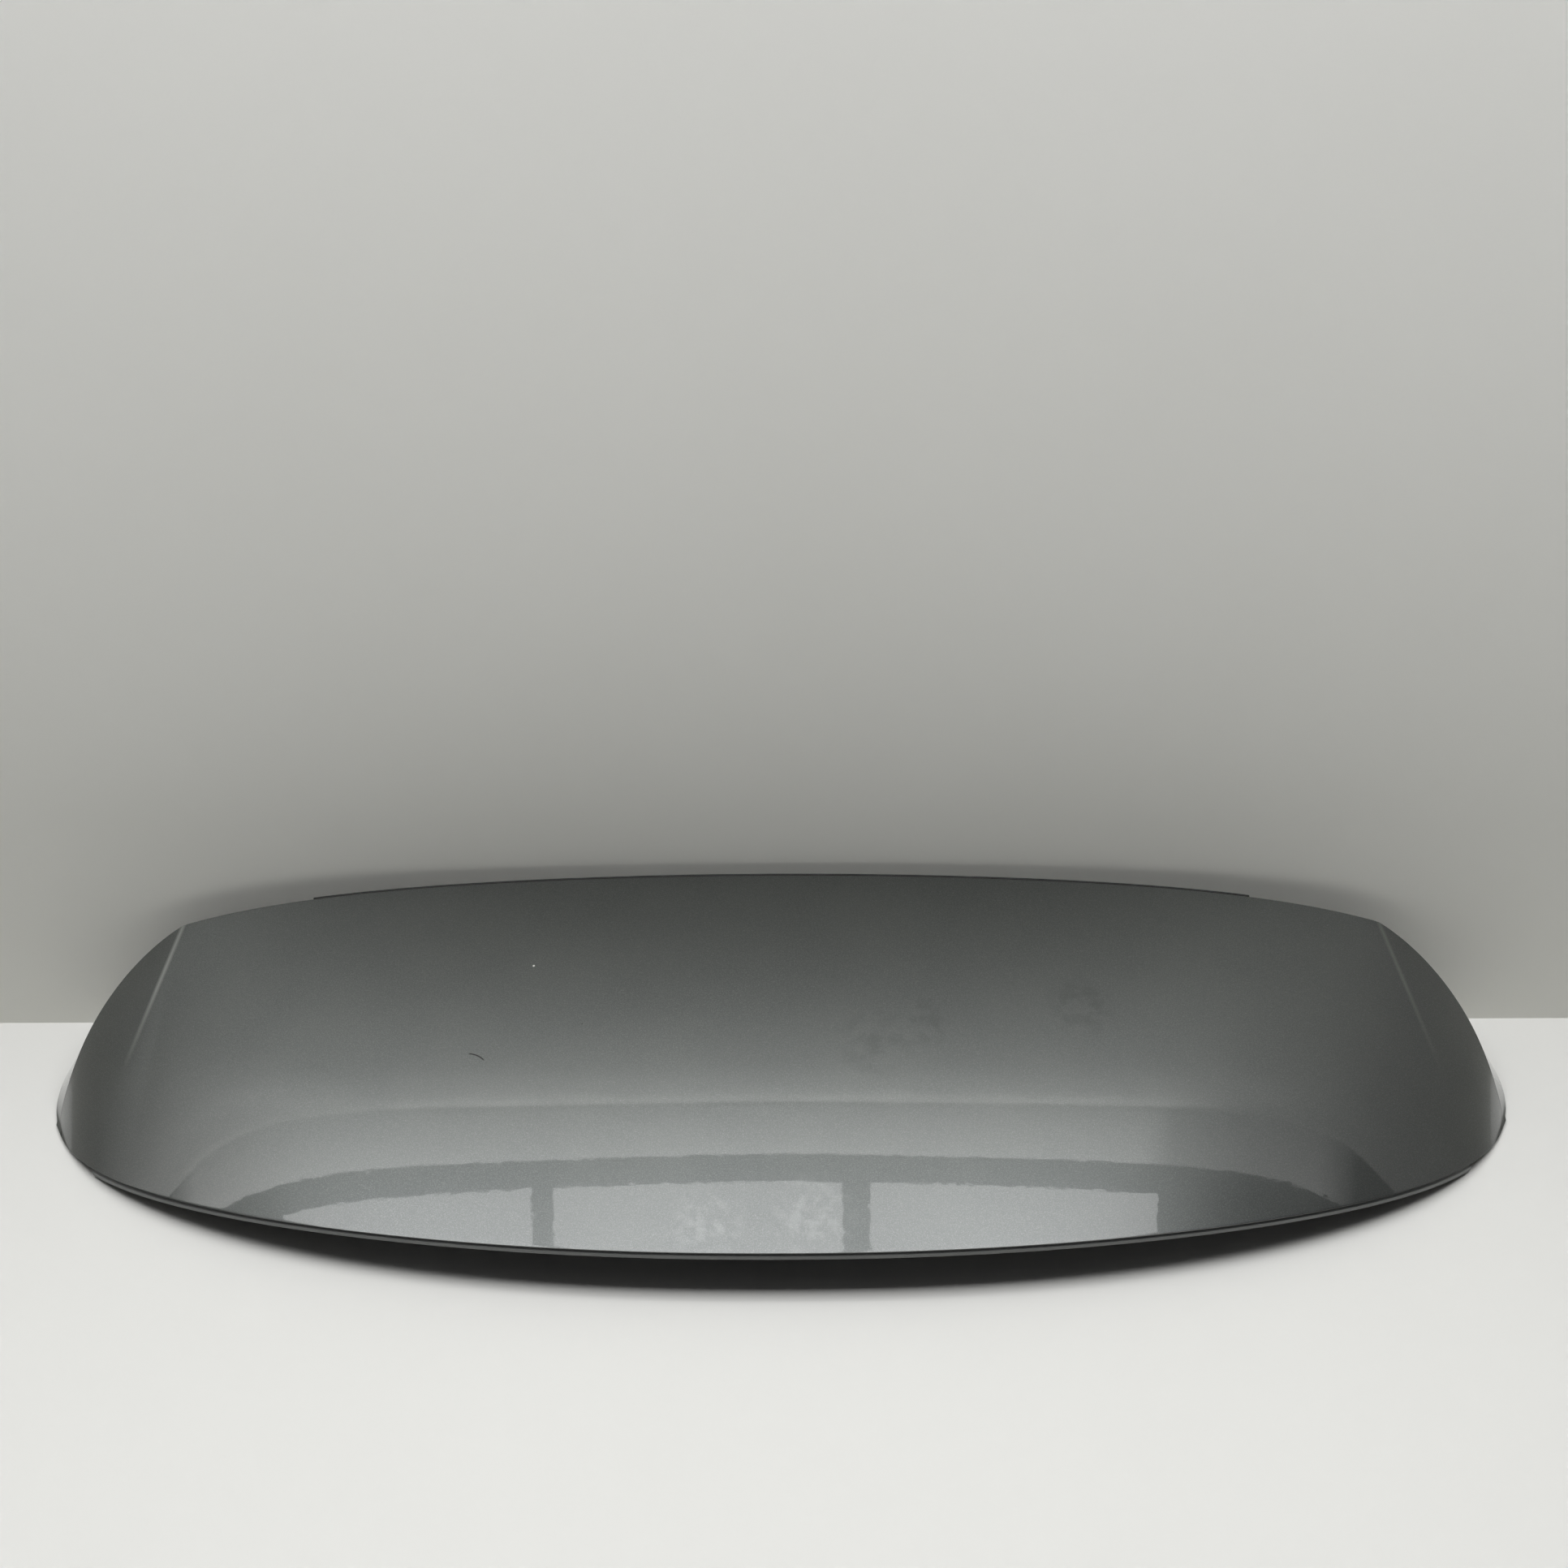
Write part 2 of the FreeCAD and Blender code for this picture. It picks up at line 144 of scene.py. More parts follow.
shoulder_point = np.array([shoulder, leading_y(shoulder)])
wing_chord = flap_top - shoulder_point
wing_length = np.hypot(*wing_chord)
wing_radius = (wing_length ** 2 / 4 + wing_edge_bulge ** 2) / (2 * wing_edge_bulge)
wing_out = np.array([-wing_chord[1], wing_chord[0]]) / wing_length
wing_centre = (flap_top + shoulder_point) / 2 + wing_out * (wing_edge_bulge - wing_radius)


def inside_wing(point):
    """True within the round front edge of the wing."""
    return np.hypot(point[..., 0] - wing_centre[0], point[..., 1] - wing_centre[1]) <= wing_radius


# Chord share where the flap's crease first meets the front edge of the wing.
fine_shares = np.linspace(2.0 * corner_share, 1.0, 2001)
edges_cross = widest(fine_shares, inside_flap) <= widest(fine_shares, inside_wing)
flap_share = fine_shares[np.argmax(edges_cross)]


def half_span(v):
    """Half width along the chord: flap crease first, then wing edge, with a straight trailing corner."""
    flap = widest(np.maximum(v, corner_share), inside_flap)
    flap += (corner_width - flap) * np.clip(1.0 - v / corner_share, 0.0, 1.0)
    return np.where(v <= flap_share, flap, widest(v, inside_wing))


def quads(rows, columns):
    """Corner numbers of the squares of a grid, row by row."""
    first = np.arange(rows - 1)[:, None] * columns + np.arange(columns - 1)
    return np.stack([first, first + 1, first + columns + 1, first + columns], axis=-1).reshape(-1, 4)


def new_piece(name, points, faces):
    """Mesh object at the origin from points and four-cornered faces, shaded smooth."""
    mesh = bpy.data.meshes.new(name)
    mesh.from_pydata(points.reshape(-1, 3).tolist(), [], faces.tolist())
    mesh.polygons.foreach_set("use_smooth", np.ones(len(mesh.polygons), dtype=bool))
    mesh.update()
    piece = bpy.data.objects.new(name, mesh)
    bpy.context.scene.collection.objects.link(piece)
    return piece


# Skin grid with close rows and columns at its edges, and a flap grid hung from the crease at each tip.
trailing_rows = [0.0, 0.004, 0.010]
leading_rows = [0.990, 0.9955, 1.0]
rows_flap = np.concatenate([trailing_rows, np.linspace(0.018, flap_share, 60)])
rows_wing = np.concatenate([np.linspace(flap_share, 0.985, 34)[1:], leading_rows])
shares = np.concatenate([rows_flap, rows_wing])
middle_columns = np.linspace(0.0, 0.8, 81)
shoulder_columns = np.linspace(0.8, 0.99, 61)[1:]
tip_columns = [0.9945, 0.9982, 1.0]
span_right = np.concatenate([middle_columns, shoulder_columns, tip_columns])
span = np.concatenate([-span_right[:0:-1], span_right])
flare = flap_flare * np.clip(1.0 - (shares / flap_share) ** 2, 0.0, 1.0)
top_x = span * (half_span(shares) - flare)[:, None]
top_v = np.broadcast_to(shares[:, None], top_x.shape)
top = skin(top_x, top_v)
top_numbers = np.arange(top[..., 0].size).reshape(top.shape[:2])
crease = top[: len(rows_flap), -1]
flap_edge = skin(half_span(rows_flap), rows_flap)
lean_line = np.array([flap_lean, flap_setback, -1.0])
foot = flap_edge + (flap_edge[:, 2:] - flap_foot) * lean_line
flap_steps = np.concatenate([[0.05, 0.12], np.linspace(0.2, 1.0, 12)])
flap_right = crease[:, None, :] + (foot - crease)[:, None, :] * flap_steps[:, None]
flap_left = flap_right * np.array([-1.0, 1.0, 1.0])
flap_numbers = np.arange(flap_right[..., 0].size).reshape(flap_right.shape[:2]) + top_numbers.size
right_numbers = np.concatenate([top_numbers[: len(rows_flap), -1:], flap_numbers], axis=1)
left_start = top_numbers[: len(rows_flap), :1]
left_numbers = np.concatenate([left_start, flap_numbers + flap_numbers.size], axis=1)[:, ::-1]
flap_faces = quads(*right_numbers.shape)
outer_points = [top.reshape(-1, 3), flap_right.reshape(-1, 3), flap_left.reshape(-1, 3)]
outer_faces = [
    quads(*top_numbers.shape),
    right_numbers.ravel()[flap_faces],
    left_numbers.ravel()[flap_faces],
]
outer = new_piece("outer_skin", np.concatenate(outer_points), np.concatenate(outer_faces))
# The flap creases stay sharp in the shading.
edge_ends = np.empty(2 * len(outer.data.edges), dtype=np.int32)
outer.data.edges.foreach_get("vertices", edge_ends)
crease_numbers = np.concatenate([right_numbers[:, 0], left_numbers[:, -1]])
on_crease = np.isin(edge_ends, crease_numbers).reshape(-1, 2).all(axis=1)
outer.data.edges.foreach_set("use_edge_sharp", on_crease)
wall = outer.modifiers.new("wall", "SOLIDIFY")
wall.thickness = skin_wall
wall.offset = -1.0
wall.use_even_offset = True
rim = outer.modifiers.new("rim", "BEVEL")
rim.width = rim_round
rim.segments = 3
rim.limit_method = "ANGLE"
rim.angle_limit = math.radians(60.0)


def new_finish(name):
    """Material with its principled shader and the piece's own coordinates in metres."""
    finish = bpy.data.materials.new(name)
    finish.use_nodes = True
    tree = finish.node_tree
    place = tree.nodes.new("ShaderNodeTexCoord").outputs["Object"]
    return finish, tree, tree.nodes["Principled BSDF"].inputs, place


def noise(tree, place, size, detail):
    """Noise from 0 to 1 whose lumps are about the given size in metres."""
    node = tree.nodes.new("ShaderNodeTexNoise")
    node.inputs["Scale"].default_value = 1.0 / size
    node.inputs["Detail"].default_value = detail
    tree.links.new(place, node.inputs["Vector"])
    return node.outputs[0]


def ranged(tree, value, start, end, low, high):
    """Value carried from the range start to end into the range low to high, and held there."""
    node = tree.nodes.new("ShaderNodeMapRange")
    for socket, number in zip(node.inputs[1:5], (start, end, low, high)):
        socket.default_value = number
    tree.links.new(value, node.inputs[0])
    return node.outputs[0]


def blended(tree, share, first, second):
    """Colour between the first and the second by share; each is a colour or a socket."""
    node = tree.nodes.new("ShaderNodeMix")
    node.data_type = "RGBA"
    tree.links.new(share, node.inputs[0])
    for socket, colour in ((node.inputs[6], first), (node.inputs[7], second)):
        if isinstance(colour, tuple):
            socket.default_value = (*colour, 1.0)
        else:
            tree.links.new(colour, socket)
    return node.outputs[2]


def bumped(tree, height, depth):
    """Surface normal tilted by a height of 0 to 1 that stands for the given depth in metres."""
    node = tree.nodes.new("ShaderNodeBump")
    node.inputs["Distance"].default_value = depth
    tree.links.new(height, node.inputs["Height"])
    return node.outputs["Normal"]


def reckoned(tree, operation, first, second):
    """Result of one sum on two values; each is a number or a socket."""
    node = tree.nodes.new("ShaderNodeMath")
    node.operation = operation
    for socket, value in zip(node.inputs, (first, second)):
        if isinstance(value, float):
            socket.default_value = value
        else:
            tree.links.new(value, socket)
    return node.outputs[0]


# Distances from both creases, which the painted highlight on the shoulder crease and the painted shade
# line along the flap crease follow.
flap_run = np.linalg.norm(flap_right - crease[:, None, :], axis=-1).ravel()
to_flap = np.where(top_v <= flap_share, np.abs(top_x[:, -1:]) - np.abs(top_x), 1.0)
to_shoulder = crease_distance(top_x, top_v)
marks = {
    "shoulder_crease": np.concatenate([to_shoulder.ravel(), np.ones(2 * flap_run.size)]),
    "flap_crease": np.concatenate([to_flap.ravel(), flap_run, flap_run]),
    "chord_share": np.concatenate([top_v.ravel(), np.zeros(2 * flap_run.size)]),
}
for name, values in marks.items():
    outer.data.attributes.new(name, "FLOAT", "POINT").data.foreach_set("value", values.astype(np.float32))


def marked(tree, name):
    """Value that the mesh carries under this name."""
    node = tree.nodes.new("ShaderNodeAttribute")
    node.attribute_name = name
    return node.outputs["Fac"]


def spot(tree, place, centre, radius, edge):
    """Round mask: 1 within the radius less its soft edge, 0 from the radius outwards."""
    node = tree.nodes.new("ShaderNodeVectorMath")
    node.operation = "DISTANCE"
    node.inputs[1].default_value = centre
    tree.links.new(place, node.inputs[0])
    return ranged(tree, node.outputs["Value"], radius - edge, radius, 1.0, 0.0)


def split(tree, place):
    """Outputs X, Y and Z that hold the three coordinates of a place."""
    node = tree.nodes.new("ShaderNodeSeparateXYZ")
    tree.links.new(place, node.inputs[0])
    return node.outputs


def hair(tree, place, centre, turn, half_length, bow, thickness):
    """Mask of a thin bowed scratch: near the curve y = bow less bow times (x / half length) squared."""
    node = tree.nodes.new("ShaderNodeMapping")
    node.vector_type = "TEXTURE"
    node.inputs["Location"].default_value = centre
    node.inputs["Rotation"].default_value = (0.0, 0.0, turn)
    tree.links.new(place, node.inputs["Vector"])
    local = split(tree, node.outputs[0])
    square = reckoned(tree, "MULTIPLY", local["X"], local["X"])
    curve = reckoned(tree, "MULTIPLY", square, bow / half_length ** 2)
    off = reckoned(tree, "ADD", reckoned(tree, "SUBTRACT", local["Y"], bow), curve)
    near = ranged(tree, reckoned(tree, "ABSOLUTE", off, 0.0), thickness / 2, thickness, 1.0, 0.0)
    along = reckoned(tree, "ABSOLUTE", local["X"], 0.0)
    return reckoned(tree, "MULTIPLY", near, ranged(tree, along, 0.8 * half_length, half_length, 1.0, 0.0))


# Metallic paint: flakes under clear coat, a painted highlight along the shoulder crease, a painted shade
# line along the flap crease, and marks of handling.
flake_size = 0.0007
cloud_size = 0.09
peel_size = 0.005
peel_depth = 0.00001
paint_dark = (0.098, 0.104, 0.103)
paint_light = (0.107, 0.113, 0.111)
flake_grey = (0.155, 0.163, 0.161)
# Painted highlight on the shoulder crease: its colour, half width and share on the right side.
crease_highlight_grey = (0.36, 0.37, 0.36)
crease_highlight_half_width = 0.0030
crease_highlight_right_share = 0.4
# Painted shade line along the flap crease: its colour and half width.
crease_shade_black = (0.02, 0.02, 0.02)
crease_shade_half_width = 0.0010
grease_size = 0.012
grease_grey = (0.06, 0.064, 0.063)
grease_spots = (
    ((0.225, 0.031, 0.111), 0.030),
    ((0.068, -0.006, 0.103), 0.034),
    ((0.105, 0.012, 0.109), 0.026),
)
wipe_size = 0.008
wipe_grey = (0.24, 0.25, 0.25)
wipe_spots = (((-0.053, -0.134, 0.049), 0.030), ((0.019, -0.130, 0.051), 0.036))
speck_black = (0.015, 0.015, 0.015)
dark_specks = (((-0.150, 0.0135, 0.1085), 0.0011), ((-0.117, -0.019, 0.097), 0.0012))
speck_white = (0.85, 0.85, 0.83)
white_speck = (-0.192, 0.0656, 0.1256)
white_speck_radius = 0.0011
white_speck_edge = 0.0005
scratch_black = (0.012, 0.012, 0.012)
paint, tree, paint_inputs, place = new_finish("grey_metallic_paint")
flakes = noise(tree, place, flake_size, 1.0)
cloud = noise(tree, place, cloud_size, 2.0)
peel = noise(tree, place, peel_size, 1.0)
base = blended(tree, ranged(tree, cloud, 0.35, 0.65, 0.0, 1.0), paint_dark, paint_light)
base = blended(tree, ranged(tree, flakes, 0.45, 0.80, 0.0, 1.0), base, flake_grey)
# Painted highlight: a lighter line along the shoulder crease, fading towards the trailing edge and
# fainter on the right.
away = reckoned(tree, "ABSOLUTE", marked(tree, "shoulder_crease"), 0.0)
crease_highlight = ranged(tree, marked(tree, "chord_share"), 0.40, 0.75, 0.0, 1.0)
crease_highlight = reckoned(tree, "MULTIPLY", ranged(tree, away, 0.0002, crease_highlight_half_width, 0.75, 0.0), crease_highlight)
right_side = ranged(tree, split(tree, place)["X"], -0.1, 0.1, 1.0, crease_highlight_right_share)
crease_highlight = reckoned(tree, "MULTIPLY", crease_highlight, right_side)
base = blended(tree, crease_highlight, base, crease_highlight_grey)
# Painted shade: a thin dark line along each flap crease, where the flap folds down from the wing.
crease_shade = ranged(tree, marked(tree, "flap_crease"), 0.0004, crease_shade_half_width, 0.8, 0.0)
base = blended(tree, crease_shade, base, crease_shade_black)
grease = noise(tree, place, grease_size, 3.0)
grease = ranged(tree, grease, 0.45, 0.62, 0.0, 0.30)
for centre, radius in grease_spots:
    smudge = reckoned(tree, "MULTIPLY", grease, spot(tree, place, centre, radius, 0.6 * radius))
    base = blended(tree, smudge, base, grease_grey)
wiped = ranged(tree, noise(tree, place, wipe_size, 2.0), 0.45, 0.65, 0.0, 0.22)
for centre, radius in wipe_spots:
    smear = reckoned(tree, "MULTIPLY", wiped, spot(tree, place, centre, radius, 0.7 * radius))
    base = blended(tree, smear, base, wipe_grey)
for centre, radius in dark_specks:
    base = blended(tree, spot(tree, place, centre, radius, 0.5 * radius), base, speck_black)
speck = spot(tree, place, white_speck, white_speck_radius, white_speck_edge)
base = blended(tree, speck, base, speck_white)
scratch = hair(
    tree,
    place,
    centre=(-0.2265, -0.0096, 0.095),
    turn=math.radians(-26.0),
    half_length=0.0072,
    bow=0.0013,
    thickness=0.0006,
)
base = blended(tree, scratch, base, scratch_black)
tree.links.new(base, paint_inputs["Base Color"])
paint_inputs["Metallic"].default_value = 1.0
paint_inputs["Roughness"].default_value = 0.32
paint_inputs["Coat Weight"].default_value = 1.0
paint_inputs["Coat Roughness"].default_value = 0.02
paint_inputs["Coat IOR"].default_value = 1.45
tree.links.new(bumped(tree, peel, peel_depth), paint_inputs["Coat Normal"])
outer.data.materials.append(paint)
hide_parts("outer_shell")
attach(outer, "root")


# Inner shell: the black lower panel, moulded in one go with its dish, ribs, towers and seats.
# Its flange is bonded under the rim of the outer shell; the grey on the trailing lip is a painted
# highlight, where the lip catches the light.
def dress(name, finish):
    """Put this finish alone on the frame's solid of that name."""
    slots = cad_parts[name].data.materials
    slots.clear()
    slots.append(finish)


grain_size = 0.0008
grain_depth = 0.00008
wear_size = 0.05
plastic_dark = (0.024, 0.024, 0.025)
plastic_worn = (0.042, 0.042, 0.043)
# Grey of the painted highlight on the trailing lip.
lip_highlight_grey = (0.150, 0.156, 0.153)
lip_inset = 0.0005
lip_start = 0.970
lip_end = 0.985
lip_back = 0.06
moulded, tree, moulded_inputs, place = new_finish("grained_black_plastic")
grain = noise(tree, place, grain_size, 2.0)
wear = noise(tree, place, wear_size, 3.0)
black = blended(tree, ranged(tree, wear, 0.35, 0.70, 0.0, 1.0), plastic_dark, plastic_worn)
# Painted highlight: the trailing lip is coloured grey, standing in for the light it catches; the mask
# follows the trailing edge's outline.
axes = split(tree, place)
wide = reckoned(tree, "DIVIDE", axes["X"], half_width - lip_inset)
wide = reckoned(tree, "POWER", reckoned(tree, "ABSOLUTE", wide, 0.0), plan_power)
deep = reckoned(tree, "SUBTRACT", trailing_y0 + plan_sweep, axes["Y"])
deep = reckoned(tree, "MAXIMUM", reckoned(tree, "DIVIDE", deep, plan_sweep - lip_inset), 0.0)
oval = reckoned(tree, "ADD", wide, reckoned(tree, "POWER", deep, plan_power))
behind = ranged(tree, axes["Y"], 0.0, lip_back, 1.0, 0.0)
lip_highlight = reckoned(tree, "MULTIPLY", ranged(tree, oval, lip_start, lip_end, 0.0, 1.0), behind)
tree.links.new(blended(tree, lip_highlight, black, lip_highlight_grey), moulded_inputs["Base Color"])
tree.links.new(ranged(tree, wear, 0.3, 0.7, 0.48, 0.62), moulded_inputs["Roughness"])
tree.links.new(bumped(tree, grain, grain_depth), moulded_inputs["Normal"])
dress("inner_shell", moulded)


# Adhesive bead: two-part structural glue laid by a nozzle between the flanges of the two shells.
# It sets dark grey and a little uneven.
ripple_size = 0.004
ripple_depth = 0.0002
glue_dark = (0.010, 0.010, 0.010)
glue_light = (0.030, 0.030, 0.032)
glue, tree, glue_inputs, place = new_finish("dark_adhesive")
ripple = noise(tree, place, ripple_size, 2.0)
tree.links.new(blended(tree, ripple, glue_dark, glue_light), glue_inputs["Base Color"])
glue_inputs["Roughness"].default_value = 0.45
tree.links.new(bumped(tree, ripple, ripple_depth), glue_inputs["Normal"])
dress("adhesive_bead", glue)


# Leading-edge seal: an extruded rubber strip pressed against the middle of the leading edge.
# It closes the slit to the roof and stops short of both shoulders.
seal_half_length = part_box("leading_edge_seal")[1].x
seal_gap = 0.0002
seal_thickness = 0.0025
seal_height = 0.009
seal_proud = 0.0006
seal_corner = 5.0
seal_along = np.linspace(-1.0, 1.0, 241)
seal_taper = np.concatenate([[0.0, 0.8], np.ones_like(seal_along), [0.8, 0.0]])
seal_x = np.concatenate([[-1.0, -1.0], seal_along, [1.0, 1.0]]) * seal_half_length
seal_turn = np.linspace(0.0, 2.0 * np.pi, 33)
seal_across = np.sign(np.cos(seal_turn)) * np.abs(np.cos(seal_turn)) ** (2.0 / seal_corner)
seal_up = np.sign(np.sin(seal_turn)) * np.abs(np.sin(seal_turn)) ** (2.0 / seal_corner)
seal_y = (leading_y(seal_x) + (seal_gap + seal_thickness) / 2)[:, None]
seal_y = seal_y + seal_taper[:, None] * seal_across * (seal_thickness - seal_gap) / 2
seal_z = (leading_z(seal_x) + seal_proud - seal_height / 2)[:, None]
seal_z = seal_z + seal_taper[:, None] * seal_up * seal_height / 2
seal_points = np.stack(np.broadcast_arrays(seal_x[:, None], seal_y, seal_z), axis=-1)
seal = new_piece("roof_seal", seal_points, quads(*seal_points.shape[:2])[:, ::-1])
bloom_size = 0.012
rubber_grain_size = 0.0006
rubber_grain_depth = 0.00003
rubber_dark = (0.008, 0.008, 0.008)
rubber_bloomed = (0.020, 0.020, 0.021)
rubber, tree, rubber_inputs, place = new_finish("seal_rubber")
bloom = ranged(tree, noise(tree, place, bloom_size, 3.0), 0.4, 0.8, 0.0, 1.0)
tree.links.new(blended(tree, bloom, rubber_dark, rubber_bloomed), rubber_inputs["Base Color"])
rubber_inputs["Roughness"].default_value = 0.6
rubber_grain = noise(tree, place, rubber_grain_size, 1.0)
tree.links.new(bumped(tree, rubber_grain, rubber_grain_depth), rubber_inputs["Normal"])
seal.data.materials.append(rubber)
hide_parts("leading_edge_seal")
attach(seal, "root")


# Mounting studs: zinc-plated steel, cold-headed with a hexagon collar and a rolled thread.
# Each is driven into a tower of the inner shell; the thread passes through the tailgate.
stud_low, stud_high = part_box("mounting_studs")
stud_x = 0.250
stud_setback = 0.080
stud_spacing = 0.060
stud_front = leading_y(stud_x) - stud_setback
stud_rear = stud_front - stud_spacing
stud_radius = 0.0030
thread_depth = 0.00055
thread_pitch = 0.0010
stud_foot = stud_low.z
stud_reach = 0.022
collar_height = 0.004
collar_low = stud_foot + stud_reach
collar_high = collar_low + collar_height
collar_flat = 0.0050
collar_chamfer = 0.0004
root_radius = 0.0025
thread_lead_in = 0.0006
thread_run_out = 0.0015
relief_height = 0.0010
stud_turn = np.linspace(0.0, 2.0 * np.pi, 49)
thread_z = np.linspace(stud_foot + thread_lead_in, collar_low - thread_run_out, 200)
thread_phase = (thread_z[:, None] / thread_pitch - stud_turn / (2.0 * np.pi)) % 1.0
thread_radius = stud_radius - thread_depth * np.abs(2.0 * thread_phase - 1.0)
hexagon = collar_flat / np.cos((stud_turn + np.pi / 6) % (np.pi / 3) - np.pi / 6)
circle = np.ones_like(stud_turn)
stud_rows = [
    (stud_foot, circle * 0.0),
    (stud_foot, circle * (stud_radius - 2.0 * thread_depth)),
    *zip(thread_z, thread_radius),
    (collar_low - relief_height, circle * (stud_radius - thread_depth)),
    (collar_low, circle * (stud_radius - thread_depth)),
    (collar_low, hexagon - collar_chamfer),
    (collar_low + collar_chamfer, hexagon),
    (collar_high - collar_chamfer, hexagon),
    (collar_high, hexagon - collar_chamfer),
    (collar_high, circle * root_radius),
    (stud_high.z, circle * root_radius),
    (stud_high.z, circle * 0.0),
]
stud_z = np.array([row[0] for row in stud_rows])[:, None]
stud_r = np.array([row[1] for row in stud_rows])
stud_ring = (stud_r * np.cos(stud_turn), stud_r * np.sin(stud_turn), stud_z)
one_stud = np.stack(np.broadcast_arrays(*stud_ring), axis=-1)
stud_places = np.array([[x, y, 0.0] for x in (-stud_x, stud_x) for y in (stud_front, stud_rear)])
stud_points = one_stud[None] + stud_places[:, None, None, :]
stud_starts = np.arange(len(stud_places))[:, None, None] * stud_r.size
stud_faces = (quads(*stud_r.shape)[None] + stud_starts).reshape(-1, 4)
studs = new_piece("threaded_studs", stud_points, stud_faces)
stud_round = np.zeros(len(stud_rows) - 1, dtype=bool)
stud_round[1 : len(thread_z) + 3] = True
stud_smooth = np.tile(np.repeat(stud_round, len(stud_turn) - 1), len(stud_places))
studs.data.polygons.foreach_set("use_smooth", stud_smooth)
plating_size = 0.003
zinc_dull = (0.50, 0.49, 0.46)
zinc_bright = (0.66, 0.65, 0.60)
zinc, tree, zinc_inputs, place = new_finish("zinc_plated_steel")
plating = noise(tree, place, plating_size, 3.0)
zinc_share = ranged(tree, plating, 0.3, 0.7, 0.0, 1.0)
tree.links.new(blended(tree, zinc_share, zinc_dull, zinc_bright), zinc_inputs["Base Color"])
zinc_inputs["Metallic"].default_value = 1.0
tree.links.new(ranged(tree, plating, 0.3, 0.7, 0.28, 0.42), zinc_inputs["Roughness"])
studs.data.materials.append(zinc)
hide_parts("mounting_studs")
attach(studs, "root")


# Shell screws: zinc-plated pan-head screws driven from below through the inner shell.
# They clamp the two shells while the glue sets and stay in for good.
dress("shell_screws", zinc)


# Foam rings and wing pads: closed-cell rubber foam, die-cut from sheet and stuck on.
# The rings seal the stud holes; the pads keep the wings off the tailgate's paint.
cell_size = 0.0012
cell_depth = 0.0003
foam_dark = (0.020, 0.020, 0.021)
foam_light = (0.060, 0.060, 0.062)
foam, tree, foam_inputs, place = new_finish("black_foam_rubber")
cells = noise(tree, place, cell_size, 2.0)
cell_share = ranged(tree, cells, 0.35, 0.65, 0.0, 1.0)
tree.links.new(blended(tree, cell_share, foam_dark, foam_light), foam_inputs["Base Color"])
foam_inputs["Roughness"].default_value = 0.9
tree.links.new(bumped(tree, cells, cell_depth), foam_inputs["Normal"])
for name in ("stud_seals", "wing_pad_left", "wing_pad_right"):
    dress(name, foam)


# Retaining clips: natural nylon push-in clips, moulded, pressed into the seats of the inner shell.
# Their barbs snap into the holes along the top edge of the tailgate.
milk_size = 0.006
nylon_yellow = (0.60, 0.57, 0.48)
nylon_white = (0.70, 0.68, 0.60)
nylon, tree, nylon_inputs, place = new_finish("natural_nylon")
milk = ranged(tree, noise(tree, place, milk_size, 2.0), 0.3, 0.7, 0.0, 1.0)
tree.links.new(blended(tree, milk, nylon_yellow, nylon_white), nylon_inputs["Base Color"])
nylon_inputs["Roughness"].default_value = 0.42
dress("retaining_clips", nylon)


# Stage: a pale table with a pale wall close behind the part, the wall's colour darkened towards its foot
# as painted shade; the back of each is clear.
# A key lamp overhead gives the shadow and stays out of the gloss; three panels show only in the gloss.
# The wall and a strip of ceiling glow softly, so that the paint mirrors them too.
wall_y = 0.166
table_reach = 5.0
wall_height = 2.03
stage_points = {
    "table": [
        [-table_reach, -table_reach, 0.0],
        [table_reach, -table_reach, 0.0],
        [table_reach, table_reach, 0.0],
        [-table_reach, table_reach, 0.0],
    ],
    "wall": [
        [-table_reach, wall_y, 0.0],
        [table_reach, wall_y, 0.0],
        [table_reach, wall_y, wall_height],
        [-table_reach, wall_y, wall_height],
    ],
}
stage_low = {"table": (0.56, 0.56, 0.545), "wall": (0.76, 0.76, 0.71)}
stage_high = {"table": (0.60, 0.60, 0.585), "wall": (0.93, 0.93, 0.90)}
shade_height = 0.9
rise_share = 0.92
mottle_share = 0.08
mottle_size = 0.25
side_glow = 1.0
side_glow_x = (-1.5, -1.0)
side_glow_z = (0.3, 1.3)
top_glow = 0.55
top_glow_start = 0.2
glow_colour = (1.0, 1.0, 0.97, 1.0)
